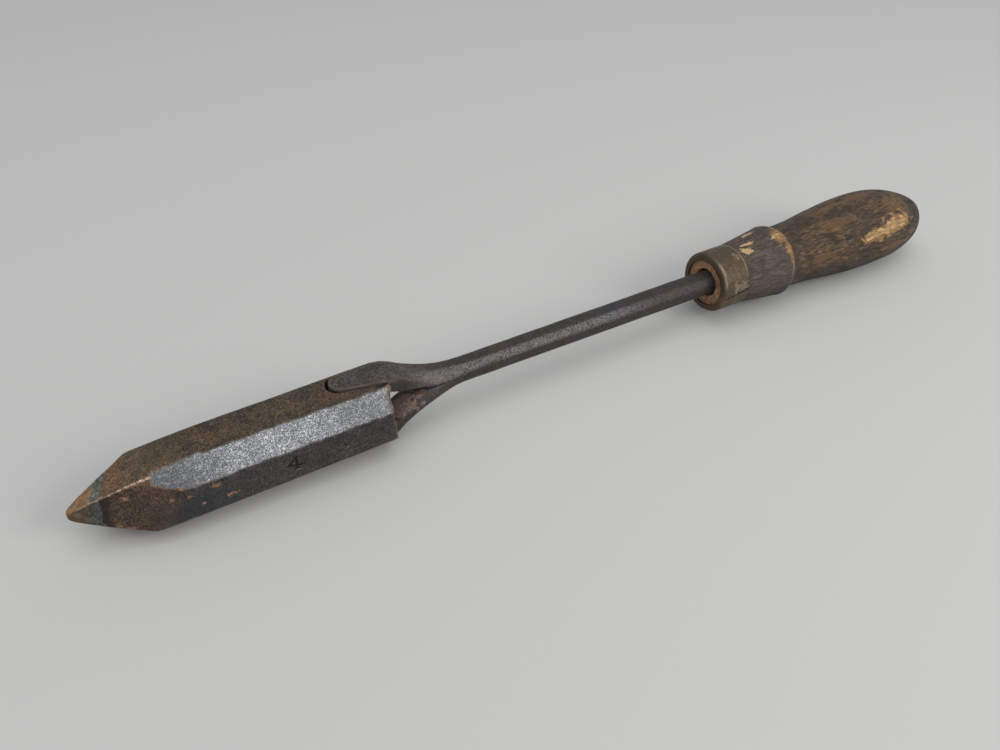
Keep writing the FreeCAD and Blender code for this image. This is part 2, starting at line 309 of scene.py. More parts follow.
def peppered(tree, colour, place, dark, light, size, seed):
    """Scatters dark and light grains over a colour."""
    pits = use(tree, speckle, Vector=place, Size=size, Contrast=0.05, Seed=seed)
    glints = use(tree, speckle, Vector=place, Size=size * 0.75, Contrast=0.05, Seed=seed + 0.5)
    cluster = use(tree, patches, Vector=place, Size=size * 9, Share=0.50, Softness=0.16, Seed=seed + 0.8)
    glints = sums(tree, "MULTIPLY", sums(tree, "POWER", glints, 2.0), sums(tree, "MULTIPLY_ADD", cluster, -0.5, 0.9))
    pits = sums(tree, "MULTIPLY", pits, sums(tree, "MULTIPLY_ADD", cluster, 0.25, 0.70))
    return layered(tree, colour, (glints, light, 0.60), (pits, dark, 0.85))


def bumped(tree, shader, height, depth, strength=1.0):
    """Lifts the surface by a height between 0 and 1 times a depth in millimetres."""
    lift = put(tree, "ShaderNodeBump", Strength=strength, Distance=depth * mm, Height=height)
    tree.links.new(lift.outputs[0], shader.inputs["Normal"])


print("material helpers ready")

# %% [markdown]
# Forged iron and wrought copper are never quite flat: the hammer leaves shallow hollows and
# the scale leaves fine pits. Sculpting them by hand would differ from piece to piece, so a
# Geometry Nodes tree moves every point a little along its normal by seeded noise.

# %% The tree that wears a surface


def worn_surface_tree():
    """Builds the Geometry Nodes tree that gives a mesh its hollows, pits and grain."""
    tree = bpy.data.node_groups.new("worn surface", "GeometryNodeTree")
    face = tree.interface
    face.new_socket("Geometry", in_out="INPUT", socket_type="NodeSocketGeometry")
    for title in ("Hollow Size", "Hollow Depth", "Pit Size", "Pit Depth", "Seed"):
        face.new_socket(title, in_out="INPUT", socket_type="NodeSocketFloat")
    face.new_socket("Stretch", in_out="INPUT", socket_type="NodeSocketVector")
    face.new_socket("Material", in_out="INPUT", socket_type="NodeSocketMaterial")
    face.new_socket("Geometry", in_out="OUTPUT", socket_type="NodeSocketGeometry")
    src = tree.nodes.new("NodeGroupInput").outputs
    place = tree.nodes.new("GeometryNodeInputPosition").outputs[0]
    normal = tree.nodes.new("GeometryNodeInputNormal").outputs[0]
    grained = vector_sums(tree, "MULTIPLY", place, src["Stretch"])

    def bumps(size, depth, detail, seed_step):
        field = put(tree, "ShaderNodeTexNoise", {"noise_dimensions": "4D"}, Vector=grained,
                    W=sums(tree, "ADD", src["Seed"], seed_step), Scale=sums(tree, "DIVIDE", 1.0, src[size]),
                    Detail=detail, Roughness=0.6)
        return sums(tree, "MULTIPLY", sums(tree, "SUBTRACT", field.outputs[0], 0.56), src[depth])

    height = sums(tree, "ADD", bumps("Hollow Size", "Hollow Depth", 1.0, 0.0), bumps("Pit Size", "Pit Depth", 3.0, 7.3))
    scaled = tree.nodes.new("ShaderNodeVectorMath")
    scaled.operation = "SCALE"
    tree.links.new(normal, scaled.inputs[0])
    tree.links.new(height, scaled.inputs["Scale"])
    moved = put(tree, "GeometryNodeSetPosition", Geometry=src["Geometry"], Offset=scaled.outputs[0])
    real = put(tree, "GeometryNodeRealizeInstances", Geometry=moved.outputs[0])
    coated = put(tree, "GeometryNodeSetMaterial", Geometry=real.outputs[0], Material=src["Material"])
    tree.links.new(coated.outputs[0], tree.nodes.new("NodeGroupOutput").inputs[0])
    return tree


worn_surface = worn_surface_tree()
print("worn surface inputs", [i.name for i in worn_surface.interface.items_tree if i.in_out == "INPUT"])

# %% Helpers for meshes


def new_piece(name, mesh):
    """Links a mesh as an object at the origin."""
    piece = bpy.data.objects.new(name, mesh)
    bpy.context.collection.objects.link(piece)
    return piece


def made_plain(piece, name):
    """Turns a piece with modifiers into a plain mesh of that name."""
    bpy.context.view_layer.update()
    mesh = bpy.data.meshes.new_from_object(piece.evaluated_get(bpy.context.evaluated_depsgraph_get()))
    mesh.name = name
    piece.modifiers.clear()
    old = piece.data
    piece.data = mesh
    bpy.data.meshes.remove(old)
    return piece


def solid_copy(node, voxel):
    """Copies a CAD node's mesh, joins its loose triangles and lays an even net of faces over it."""
    net = bmesh.new()
    net.from_mesh(frame["nodes"][node].data)
    bmesh.ops.remove_doubles(net, verts=net.verts, dist=1e-6)
    mesh = bpy.data.meshes.new(node + "_net")
    net.to_mesh(mesh)
    net.free()
    piece = new_piece(node + "_detailed", mesh)
    remesh = piece.modifiers.new("even net", "REMESH")
    remesh.mode = "VOXEL"
    remesh.voxel_size = voxel
    return made_plain(piece, node + "_detailed")


def weather(piece, material, hollow, pit, seed, stretch=(1, 1, 1)):
    """Runs the worn surface tree on a piece. Hollow and pit are each a size and a depth."""
    wear = piece.modifiers.new("worn surface", "NODES")
    wear.node_group = worn_surface
    sockets = {i.name: i.identifier for i in worn_surface.interface.items_tree if i.in_out == "INPUT"}
    values = {"Hollow Size": hollow[0], "Hollow Depth": hollow[1], "Pit Size": pit[0], "Pit Depth": pit[1],
              "Seed": float(seed), "Stretch": stretch, "Material": material}
    for title, value in values.items():
        wear[sockets[title]] = value
    made_plain(piece, piece.data.name)
    for face in piece.data.polygons:
        face.use_smooth = True
    return piece


def points_of(mesh):
    """The points of a mesh as an array."""
    places = np.empty(len(mesh.vertices) * 3)
    mesh.vertices.foreach_get("co", places)
    return places.reshape(-1, 3)


def set_points(mesh, places):
    """Writes the points of a mesh back."""
    mesh.vertices.foreach_set("co", places.ravel())
    mesh.update()


def keep_value(mesh, name, values):
    """Stores one number for each point, for the material to read."""
    layer = mesh.attributes.new(name, "FLOAT", "POINT")
    layer.data.foreach_set("value", np.asarray(values, dtype=np.float32))


def soften(mesh, values, passes):
    """Averages a number over the neighbours of each point, several times."""
    count = len(mesh.vertices)
    pairs = np.empty(len(mesh.edges) * 2, dtype=np.int64)
    mesh.edges.foreach_get("vertices", pairs)
    first, second = pairs.reshape(-1, 2).T
    near = np.bincount(first, minlength=count) + np.bincount(second, minlength=count)
    for _ in range(passes):
        total = np.bincount(first, values[second], count) + np.bincount(second, values[first], count)
        values = total / np.maximum(near, 1)
    return values


def keep_edges(mesh, passes, gain):
    """Stores how much each point stands out of its surroundings or sinks below them: raised edges get rubbed, and
    hollows get painted shade.
    """
    places = points_of(mesh)
    smooth = np.stack([soften(mesh, places[:, axis], passes) for axis in range(3)], axis=1)
    normals = np.empty(len(places) * 3)
    mesh.vertices.foreach_get("normal", normals)
    proud = soften(mesh, ((places - smooth) * normals.reshape(-1, 3)).sum(axis=1), 2)
    keep_value(mesh, "edge", np.clip(proud * gain, -1, 1))
    print("edges of", mesh.name, "stand out in mm by", np.round(np.percentile(proud, (1, 50, 99)) * 1000, 3))


print("mesh helpers ready")

# %% [markdown]
# The handle and the ferrule are turned: each is one outline spun round the axis. A Spin
# would do it, but a Geometry Nodes lathe keeps its sizes as inputs. Its grid has one row for
# each point of the outline and one column for each step round. The real handle also sags a
# little towards its end, because old wood warps, so the lathe has a Sag input.

# %% The lathe tree


def lathe_tree():
    """Builds the Geometry Nodes tree that spins an outline, given as points (x, 0, radius)."""
    tree = bpy.data.node_groups.new("lathe", "GeometryNodeTree")
    face = tree.interface
    face.new_socket("Geometry", in_out="INPUT", socket_type="NodeSocketGeometry")
    face.new_socket("Steps", in_out="INPUT", socket_type="NodeSocketInt")
    for title in ("Axis Height", "Sag", "Sag Start", "Sag End"):
        face.new_socket(title, in_out="INPUT", socket_type="NodeSocketFloat")
    face.new_socket("Material", in_out="INPUT", socket_type="NodeSocketMaterial")
    face.new_socket("Geometry", in_out="OUTPUT", socket_type="NodeSocketGeometry")
    src = tree.nodes.new("NodeGroupInput").outputs
    rows = put(tree, "GeometryNodeAttributeDomainSize", Geometry=src["Geometry"]).outputs["Point Count"]
    columns = sums(tree, "ADD", src["Steps"], 1.0)
    grid = put(tree, "GeometryNodeMeshGrid", Vertices_X=rows, Vertices_Y=columns)
    index = tree.nodes.new("GeometryNodeInputIndex").outputs[0]
    row = sums(tree, "FLOOR", sums(tree, "DIVIDE", sums(tree, "ADD", index, 0.5), columns))
    column = sums(tree, "SUBTRACT", index, sums(tree, "MULTIPLY", row, columns))
    place = tree.nodes.new("GeometryNodeInputPosition").outputs[0]
    sample = put(tree, "GeometryNodeSampleIndex", {"data_type": "FLOAT_VECTOR"}, Geometry=src["Geometry"], Index=row)
    tree.links.new(place, sample.inputs["Value"])
    outline = put(tree, "ShaderNodeSeparateXYZ", Vector=sample.outputs[0]).outputs
    turn = sums(tree, "DIVIDE", sums(tree, "MULTIPLY", column, math.tau), src["Steps"])
    aside = sums(tree, "MULTIPLY", outline[2], sums(tree, "SINE", turn))
    above = sums(tree, "MULTIPLY", outline[2], sums(tree, "COSINE", turn))
    bend = step_between(tree, outline[0], src["Sag Start"], src["Sag End"])
    axis = sums(tree, "SUBTRACT", src["Axis Height"], sums(tree, "MULTIPLY", src["Sag"], bend))
    spun = put(tree, "ShaderNodeCombineXYZ", X=outline[0], Y=aside, Z=sums(tree, "ADD", above, axis))
    moved = put(tree, "GeometryNodeSetPosition", Geometry=grid.outputs[0], Position=spun.outputs[0])
    closed = put(tree, "GeometryNodeMergeByDistance", Geometry=moved.outputs[0], Distance=1e-6)
    real = put(tree, "GeometryNodeRealizeInstances", Geometry=closed.outputs[0])
    coated = put(tree, "GeometryNodeSetMaterial", Geometry=real.outputs[0], Material=src["Material"])
    tree.links.new(coated.outputs[0], tree.nodes.new("NodeGroupOutput").inputs[0])
    return tree


lathe = lathe_tree()


def smooth_outline(points, step):
    """Follows a row of (x, radius) points with a smooth curve in steps of that length."""
    points = np.array(points, dtype=float)
    length = np.concatenate([[0], np.cumsum(np.hypot(*np.diff(points, axis=0).T))])
    slopes = np.gradient(points, length, axis=0)
    stations = np.linspace(0, length[-1], max(int(length[-1] / step), 2) + 1)
    span = np.clip(np.searchsorted(length, stations, side="right") - 1, 0, len(points) - 2)
    gap = (length[span + 1] - length[span])[:, None]
    t = ((stations - length[span])[:, None]) / gap
    return ((2 * t ** 3 - 3 * t ** 2 + 1) * points[span] + (t ** 3 - 2 * t ** 2 + t) * gap * slopes[span]
            + (3 * t ** 2 - 2 * t ** 3) * points[span + 1] + (t ** 3 - t ** 2) * gap * slopes[span + 1])


def straight_outline(points, step):
    """Follows a row of (x, radius) points with straight lines in steps of that length."""
    row = [points[0]]
    for start, end in zip(points, points[1:]):
        pieces = max(int(math.dist(start, end) / step), 1)
        row += [tuple(np.add(start, np.subtract(end, start) * k / pieces)) for k in range(1, pieces + 1)]
    return np.array(row)


def turned_piece(name, outline, steps, sag=(0, 435, 475)):
    """Spins an outline in millimetres from the point into a closed mesh in the frame."""
    mesh = bpy.data.meshes.new(name)
    mesh.from_pydata([((x - half_length) * mm, 0, r * mm) for x, r in outline], [], [])
    piece = new_piece(name, mesh)
    spin = piece.modifiers.new("lathe", "NODES")
    spin.node_group = lathe
    sockets = {i.name: i.identifier for i in lathe.interface.items_tree if i.in_out == "INPUT"}
    values = {"Steps": steps, "Axis Height": axis_z * mm, "Sag": sag[0] * mm,
              "Sag Start": (sag[1] - half_length) * mm, "Sag End": (sag[2] - half_length) * mm}
    for title, value in values.items():
        spin[sockets[title]] = value
    made_plain(piece, name)
    net = bmesh.new()
    net.from_mesh(piece.data)
    bmesh.ops.recalc_face_normals(net, faces=net.faces)
    net.to_mesh(piece.data)
    net.free()
    return piece


print("lathe has", len(lathe.nodes), "nodes")

# %% [markdown]
# The bit is a bar of copper, forged square with its corners beaten to bevels and its front
# drawn to a four-sided point. It could be modelled from a cube by hand, but its main form is
# already right in the CAD model. So a copy of that mesh gets an even net of small faces, and
# the wear tree gives it hammer hollows and scale pits.

# %% The bit's mesh
bit = solid_copy("copper_bit", 0.00045)
print("bit has", len(bit.data.polygons), "faces before its wear")

# %% [markdown]
# Each face of the bit has aged in its own way: the near bevel is bare and silvery, and its pale
# colour is also a painted highlight that stands in for the near lamp's reflection; the sides
# are black with scale, and the point is redder. The material needs to know which face it is
# on. Each point asks the CAD model for the normal of its nearest face, from a place pushed
# aside by noise, which gives the borders their waves and nicks.

# %% Which face each point is on


def face_normals(piece, node, push, size, seed):
    """The normal of the CAD face nearest to each point, looked up a little to one side."""
    net = bmesh.new()
    net.from_mesh(frame["nodes"][node].data)
    bmesh.ops.remove_doubles(net, verts=net.verts, dist=1e-6)
    tree = BVHTree.FromBMesh(net)
    found = np.empty((len(piece.data.vertices), 3))
    start = Vector((seed, seed * 0.37, -seed))
    for index, vertex in enumerate(piece.data.vertices):
        aside = noise.noise_vector(vertex.co / size + start) + noise.noise_vector(vertex.co * 3 / size + start) * 0.4
        found[index] = tree.find_nearest(vertex.co + aside * push)[1]
    net.free()
    return found


facing = face_normals(bit, "copper_bit", 0.0006, 0.004, 4.0)
on_bevel = (np.abs(facing[:, 1]) > 0.5) & (np.abs(facing[:, 2]) > 0.5)
bit_x = points_of(bit.data)[:, 0] / mm + half_length
near_bevel = on_bevel & (facing[:, 1] < 0) & (facing[:, 2] > 0) & (bit_x > 31.0) & (bit_x < 129.6)
on_side = np.abs(facing[:, 1]) > 0.85
print("points on bevels", int(on_bevel.sum()), "sides", int(on_side.sum()))

# %% The bit's wear
places = points_of(bit.data)
tool_x = places[:, 0] / mm + half_length
print("the bit runs from", round(float(tool_x.min()), 1), "to", round(float(tool_x.max()), 1), "mm")


def dent(places, centre, reach, depth):
    """Presses a round hollow straight into the surface at a place, in millimetres."""
    gap = (places / mm - np.array([centre[0] - half_length, centre[1], centre[2]])) / np.array(reach)
    inward = np.array([0, -centre[1], axis_z * 0.8 - centre[2]])
    inward = inward / np.linalg.norm(inward)
    return places + np.exp(-(gap ** 2).sum(axis=1))[:, None] * inward * depth * mm


def ragged_end(places, tool_x, start, end, size, depth, seed):
    """Moves the points near one end along the tool by noise, as a beaten edge is."""
    share = np.clip((tool_x - start) / (end - start), 0, 1) ** 2
    shift = np.array([noise.noise(Vector(p) / (size * mm) + Vector((seed, 0, 0))) for p in places])
    places[:, 0] += share * shift * depth * mm
    return places


height = places[:, 2] / mm
end_share = np.clip((tool_x - 118.0) / 12.5, 0, 1) ** 2
end_shape = np.interp(height, (0.0, 8.0, 16.0, 25.0, 31.0, 35.0), (0.8, 1.0, 0.2, -1.1, 0.2, 1.9))
places[:, 0] += end_share * end_shape * mm
places = ragged_end(places, tool_x, 126.0, 130.5, 3.5, 1.1, 2.0)
for centre, reach, depth in (((58.0, -7.4, 33.4), (2.4, 1.6, 1.6), 0.9), ((91.0, -16.0, 26.0), (3.0, 2.0, 2.0), 0.35),
                             ((36.0, -15.4, 24.0), (2.5, 2.0, 2.0), 0.5), ((20.0, 8.0, 26.0), (4.0, 3.0, 3.0), 0.5)):
    places = dent(places, centre, reach, depth)
rounded = np.stack([soften(bit.data, places[:, axis], 16) for axis in range(3)], axis=1)
worn_share = 0.25 + 0.75 * np.clip((58.0 - tool_x) / 14.0, 0, 1)[:, None] * np.clip((tool_x - 3.0) / 6.0, 0, 1)[:, None]
places += (rounded - places) * worn_share
set_points(bit.data, places)

# %% [markdown]
# The bit's colours come from heat and work, and some are painted light. Flux and heat have
# left a brown and black skin, thin orange copper shows where it flaked, and the last
# centimetre before the tip is grey-green. Painted highlights lie on the near bevel, along the
# point's ridge and under the stamped figure, and painted shade lies in the hollows and in the
# gap at the bit's rear end. A painted map would fix these in pixels, so the material builds
# them from the shared groups, each laid over the last like a coat of paint.

# %% Group: stroke
stroke, src, out = new_group("stroke", [("Vector", "vector", None), ("Start", "vector", None), ("End", "vector", None),
                             ("Width", "value", 1.0), ("Ragged", "value", 0.3)], [("Mask", "value")])
line = vector_sums(stroke, "SUBTRACT", src["End"], src["Start"])
reached = vector_sums(stroke, "SUBTRACT", src["Vector"], src["Start"])
along = stroke.nodes.new("ShaderNodeVectorMath")
along.operation = "DOT_PRODUCT"
stroke.links.new(reached, along.inputs[0])
stroke.links.new(line, along.inputs[1])
length = vector_sums(stroke, "LENGTH", line)
share = sums(stroke, "DIVIDE", along.outputs["Value"], sums(stroke, "MULTIPLY", length, length), clamp=True)
foot = stroke.nodes.new("ShaderNodeVectorMath")
foot.operation = "SCALE"
stroke.links.new(line, foot.inputs[0])
stroke.links.new(share, foot.inputs["Scale"])
apart = vector_sums(stroke, "LENGTH", vector_sums(stroke, "SUBTRACT", reached, foot.outputs[0]))
rough = put(stroke, "ShaderNodeTexNoise", Vector=src["Vector"], Scale=0.8, Detail=3.0)
shift = sums(stroke, "MULTIPLY", sums(stroke, "SUBTRACT", rough.outputs[0], 0.5), src["Ragged"])
half_width = sums(stroke, "MULTIPLY", src["Width"], 0.5)
stroke.links.new(step_between(stroke, sums(stroke, "ADD", apart, shift), sums(stroke, "MULTIPLY", half_width, 0.6),
                              half_width, 1.0, 0.0), out["Mask"])
print("stroke has", len(stroke.nodes), "nodes")

# %% The bit's finish


def aged_copper():
    """Copper with a skin of scale, a bare silvery bevel that also carries a painted highlight, a redder point, a gold
    tip, painted highlights on the ridge and the figure's lip, and painted shade in hollows.
    """
    material, tree, shader, place = new_material("aged copper")
    bevel, side, edge = (kept(tree, name) for name in ("bevel", "side", "edge"))
    fine = use(tree, speckle, Vector=place, Size=0.46, Contrast=0.06, Seed=1.0)
    coarse = use(tree, speckle, Vector=place, Size=2.2, Contrast=0.12, Seed=2.0)
    cloud = use(tree, patches, Vector=place, Size=11.0, Share=0.5, Softness=0.10, Seed=3.0)
    flakes = use(tree, patches, Vector=place, Size=3.0, Share=0.24, Softness=0.05, Seed=4.0)
    scale = use(tree, patches, Vector=place, Size=5.0, Share=0.40, Softness=0.08, Seed=5.0)
    bare = use(tree, chips, Vector=place, Spacing=6.0, Radius=0.15, Share=0.20)
    along_tool, across, height = put(tree, "ShaderNodeSeparateXYZ", Vector=place).outputs
    grain = sums(tree, "SUBTRACT", fine, 0.5)

    top = layered(tree, (0.078, 0.058, 0.042), (cloud, (0.148, 0.085, 0.042), 0.75), (scale, (0.040, 0.034, 0.030), 0.8),
                  (flakes, (0.23, 0.115, 0.055), 0.75))
    top = peppered(tree, top, place, (0.020, 0.017, 0.014), (0.24, 0.18, 0.12), 0.80, 41.0)
    flank = layered(tree, (0.056, 0.051, 0.048), (cloud, (0.078, 0.068, 0.062), 0.7), (scale, (0.030, 0.029, 0.030), 0.8),
                    (coarse, (0.080, 0.072, 0.066), 0.3))
    flank = peppered(tree, flank, place, (0.020, 0.019, 0.018), (0.17, 0.155, 0.145), 0.80, 43.0)
    blue = step_between(tree, along_tool, 74.0, 46.0)
    flank = layered(tree, flank, (sums(tree, "MULTIPLY", blue, step_between(tree, height, 24.0, 16.0)), (0.034, 0.036, 0.042), 0.5),
                    (sums(tree, "MULTIPLY", bare, step_between(tree, along_tool, 80.0, 50.0, 0.35, 1.0)), (0.34, 0.17, 0.10), 0.85))
    # The near bevel's pale silver is partly bare metal and partly a painted highlight standing in for the near lamp's
    # reflection.
    bevel_silver_and_highlight = layered(tree, (0.70, 0.71, 0.72), (cloud, (0.48, 0.49, 0.50), 0.7), (coarse, (0.34, 0.345, 0.36), 0.5),
                     (fine, (0.075, 0.075, 0.082), 0.82))
    bevel_silver_and_highlight = layered(tree, bevel_silver_and_highlight, (step_between(tree, along_tool, 66.0, 38.0), (0.085, 0.088, 0.088), 0.62),
                     (step_between(tree, along_tool, 92.0, 118.0), (0.12, 0.12, 0.125), 0.36))
    greenish = sums(tree, "MULTIPLY", kept(tree, "border"), sums(tree, "MULTIPLY", coarse, step_between(tree, height, 27.0, 31.0)))
    bevel_silver_and_highlight = layered(tree, bevel_silver_and_highlight, (greenish, (0.105, 0.098, 0.070), 0.8))
    red_top = layered(tree, (0.180, 0.110, 0.062), (cloud, (0.23, 0.138, 0.074), 0.7), (coarse, (0.115, 0.088, 0.056), 0.5),
                      (flakes, (0.36, 0.165, 0.078), 0.6), (scale, (0.060, 0.046, 0.034), 0.6))
    near_band = sums(tree, "MULTIPLY", step_between(tree, along_tool, 13.0, 15.5), step_between(tree, along_tool, 19.0, 24.0, 1.0, 0.0))
    ruddy = marks_at(tree, place, ((18.6, 2.6, 26.4), (3.0, 9.0, 4.0), 1.2), ((21.5, 8.0, 26.6), (4.0, 4.0, 3.0), 1.4), grain=2.2)
    red_top = layered(tree, red_top, (near_band, (0.26, 0.120, 0.062), 0.5), (ruddy, (0.33, 0.150, 0.070), 0.55))
    red_top = peppered(tree, red_top, place, (0.026, 0.021, 0.016), (0.32, 0.24, 0.15), 0.80, 45.0)
    red_near = layered(tree, (0.112, 0.062, 0.044), (cloud, (0.142, 0.080, 0.053), 0.7), (coarse, (0.080, 0.056, 0.042), 0.5),
                       (scale, (0.036, 0.028, 0.024), 0.7), (flakes, (0.22, 0.10, 0.055), 0.5))
    red_near = peppered(tree, red_near, place, (0.022, 0.017, 0.014), (0.22, 0.15, 0.10), 0.80, 47.0)
    sharp_side = step_between(tree, side, 0.35, 0.65)
    reach = sums(tree, "MULTIPLY_ADD", height, sums(tree, "MULTIPLY", sharp_side, -0.5), along_tool)
    reach = sums(tree, "MULTIPLY_ADD", sums(tree, "SUBTRACT", cloud, 0.5), 7.0, reach)
    reddish = step_between(tree, reach, sums(tree, "MULTIPLY_ADD", sharp_side, -14.0, 46.0), sums(tree, "MULTIPLY_ADD", sharp_side, -4.0, 26.0))
    body = mixed(tree, reddish, mixed(tree, sharp_side, top, flank), mixed(tree, sharp_side, red_top, red_near))
    sharp_bevel = step_between(tree, sums(tree, "MULTIPLY_ADD", grain, 0.7, kept(tree, "bright")), 0.40, 0.60)
    dull_bevel = sums(tree, "MULTIPLY", step_between(tree, sums(tree, "MULTIPLY_ADD", grain, 0.5, bevel), 0.40, 0.60),
                      step_between(tree, along_tool, 31.0, 36.0, 0.0, 0.22))
    body = mixed(tree, dull_bevel, body, bevel_silver_and_highlight)
    body = mixed(tree, sharp_bevel, body, bevel_silver_and_highlight)

    chipped = marks_at(tree, place, ((20.5, -9.1, 24.4), (2.0, 1.5, 1.0), 1.9), ((15.4, -9.3, 12.0), (1.3, 1.2, 1.2), 1.5),
                       ((19.0, -10.8, 10.2), (2.4, 1.2, 0.9), 1.6), ((52.8, -16.8, 22.3), (1.6, 1.0, 0.9), 1.9),
                       ((58.0, -16.7, 14.8), (2.3, 1.0, 0.8), 1.9), ((42.5, -16.3, 20.7), (1.0, 1.0, 0.6), 1.2),
                       ((39.9, -15.8, 25.3), (1.0, 1.0, 0.7), 1.2), ((108.0, -17.2, 17.3), (0.8, 0.8, 0.5), 1.0),
                       ((47.0, -16.7, 15.0), (0.8, 1.0, 0.7), 1.2), ((36.0, -15.2, 21.0), (0.9, 1.0, 0.7), 1.4), grain=1.0)
    chip_colour = mixed(tree, fine, (0.46, 0.27, 0.16), (0.20, 0.095, 0.052))
    body = mixed(tree, sums(tree, "MULTIPLY", chipped, 0.8), body, chip_colour)
    wave = put(tree, "ShaderNodeTexNoise", Vector=place, Scale=0.25, Detail=5.0, Roughness=0.65)
    slanted = sums(tree, "ADD", sums(tree, "MULTIPLY_ADD", across, -0.4, along_tool),
                   sums(tree, "MULTIPLY", sums(tree, "SUBTRACT", wave.outputs[0], 0.5), 11.0))
    gold_end = step_between(tree, slanted, 8.6, 9.6, 1.0, 0.0)
    green_end = step_between(tree, slanted, 13.4, 14.6, 1.0, 0.0)
    dark_band = sums(tree, "MULTIPLY", step_between(tree, slanted, 12.6, 14.0), step_between(tree, slanted, 16.5, 19.5, 1.0, 0.0))
    body = layered(tree, body, (sums(tree, "MULTIPLY", dark_band, sharp_side), (0.020, 0.018, 0.017), 0.85))
    green = layered(tree, (0.160, 0.166, 0.145), (coarse, (0.085, 0.092, 0.078), 0.7), (scale, (0.050, 0.046, 0.040), 0.85))
    green = peppered(tree, green, place, (0.026, 0.024, 0.021), (0.50, 0.49, 0.43), 0.8, 49.0)
    green = layered(tree, green, (sharp_side, (0.050, 0.047, 0.039), 0.55))
    body = mixed(tree, green_end, body, green)
    gold = layered(tree, (0.46, 0.265, 0.115), (coarse, (0.33, 0.195, 0.090), 0.6), (scale, (0.19, 0.130, 0.080), 0.6))
    gold_near = layered(tree, (0.175, 0.105, 0.055), (coarse, (0.110, 0.078, 0.048), 0.6), (scale, (0.085, 0.080, 0.062), 0.7))
    gold = mixed(tree, sharp_side, gold, gold_near)
    spotted = marks_at(tree, place, ((3.0, 1.2, 20.3), (1.3, 1.2, 1.2), 0.8), ((3.9, -3.2, 19.0), (1.3, 1.2, 1.3), 0.9),
                       ((7.0, -5.0, 17.0), (1.6, 1.2, 1.2), 0.9))
    gold = layered(tree, gold, (spotted, (0.17, 0.17, 0.14), 0.8))
    body = mixed(tree, gold_end, body, gold)

    ridge_width = step_between(tree, along_tool, 3.0, 30.0, 0.100, 0.060)
    rubbed = sums(tree, "MULTIPLY", step_between(tree, sums(tree, "MULTIPLY_ADD", grain, 0.05, edge), ridge_width,
                                                 sums(tree, "ADD", ridge_width, 0.035)),
                  step_between(tree, along_tool, 50.0, 30.0, 0.12, 1.0))
    border = kept(tree, "border")
    rim = sums(tree, "MULTIPLY", step_between(tree, sums(tree, "MULTIPLY_ADD", grain, 0.6, border), 0.72, 0.95),
               step_between(tree, sums(tree, "MULTIPLY_ADD", coarse, 12.0, along_tool), 60.0, 40.0))
    upward = step_between(tree, height, 18.0, 23.0)
    body = layered(tree, body, (sums(tree, "MULTIPLY", rim, upward), (0.40, 0.225, 0.135), 0.6),
                   (sums(tree, "MULTIPLY", rubbed, upward), (0.52, 0.31, 0.20), 0.45),
                   (sums(tree, "MULTIPLY", rubbed, sums(tree, "SUBTRACT", 1.0, upward)), (0.14, 0.075, 0.050), 0.5))
    beaten = sums(tree, "MULTIPLY", step_between(tree, edge, 0.05, 0.12), step_between(tree, along_tool, 127.0, 129.5))
    body = layered(tree, body, (beaten, (0.25, 0.155, 0.125), 0.6))
    # Painted shade: near-black in the hollows and in the arch-shaped gap at the bit's rear end.
    shade_in_hollows = step_between(tree, edge, -0.03, -0.10)
    gap_shade_arch = marks_at(tree, place, ((129.6, -7.6, 34.6), (3.0, 1.0, 1.4), 0.6))
    body = layered(tree, body, (shade_in_hollows, (0.012, 0.011, 0.010), 0.8), (gap_shade_arch, (0.010, 0.009, 0.008), 0.9))
    lines = (((85.4, -17.0, 21.9), (81.8, -17.0, 18.2)), ((81.8, -17.0, 18.1), (87.6, -17.0, 16.8)),
             ((85.4, -17.0, 21.9), (85.2, -17.0, 15.6)), ((84.5, -17.0, 15.7), (86.0, -17.0, 15.4)))
    figure = None
    for start, end in lines:
        one = use(tree, stroke, Vector=place, Start=start, End=end, Width=1.15, Ragged=0.15)
        figure = one if figure is None else sums(tree, "MAXIMUM", figure, one)
    # A painted highlight along the lower lip of the stamped figure.
    figure_lip_highlight = use(tree, stroke, Vector=place, Start=(84.9, -17.0, 14.7), End=(86.9, -17.0, 14.5), Width=0.8, Ragged=0.2)
    body = layered(tree, body, (figure_lip_highlight, (0.24, 0.21, 0.19), 0.7), (figure, (0.010, 0.009, 0.009), 0.95))
    # A painted highlight along the point's ridge, partly rubbed bright copper.
    ridge_highlight_and_wear = ((1.8, -2.0, 20.8), (9.8, -4.5, 24.3), (18.1, -7.3, 27.8), (24.2, -8.9, 30.1), (31.0, -9.8, 31.3))
    line = None
    for start, end in zip(ridge_highlight_and_wear, ridge_highlight_and_wear[1:]):
        one = use(tree, stroke, Vector=place, Start=start, End=end, Width=1.15, Ragged=1.5)
        line = one if line is None else sums(tree, "MAXIMUM", line, one)
    line = sums(tree, "MULTIPLY", line, step_between(tree, along_tool, 4.0, 26.0, 0.38, 1.0))
    line = sums(tree, "MULTIPLY", line, sums(tree, "MULTIPLY_ADD", coarse, -0.5, 1.0))
    body = layered(tree, body, (line, mixed(tree, fine, (0.95, 0.72, 0.56), (0.38, 0.22, 0.13)), 0.9))
    tree.links.new(body, shader.inputs["Base Color"])
    shine = sums(tree, "MAXIMUM", sums(tree, "MAXIMUM", rubbed, gold_end), sums(tree, "MULTIPLY", sharp_bevel, 0.7))
    tree.links.new(step_between(tree, shine, 0.0, 1.0, 0.2, 0.75), shader.inputs["Metallic"])
    tree.links.new(step_between(tree, coarse, 0.0, 1.0, 0.48, 0.66), shader.inputs["Roughness"])
    shader.inputs["Specular IOR Level"].default_value = 0.25
    grains = sums(tree, "MULTIPLY_ADD", coarse, 0.6, sums(tree, "MULTIPLY", fine, 0.7))
    relief = sums(tree, "SUBTRACT", sums(tree, "MULTIPLY_ADD", scale, -0.3, grains), sums(tree, "MULTIPLY", figure, 3.0))
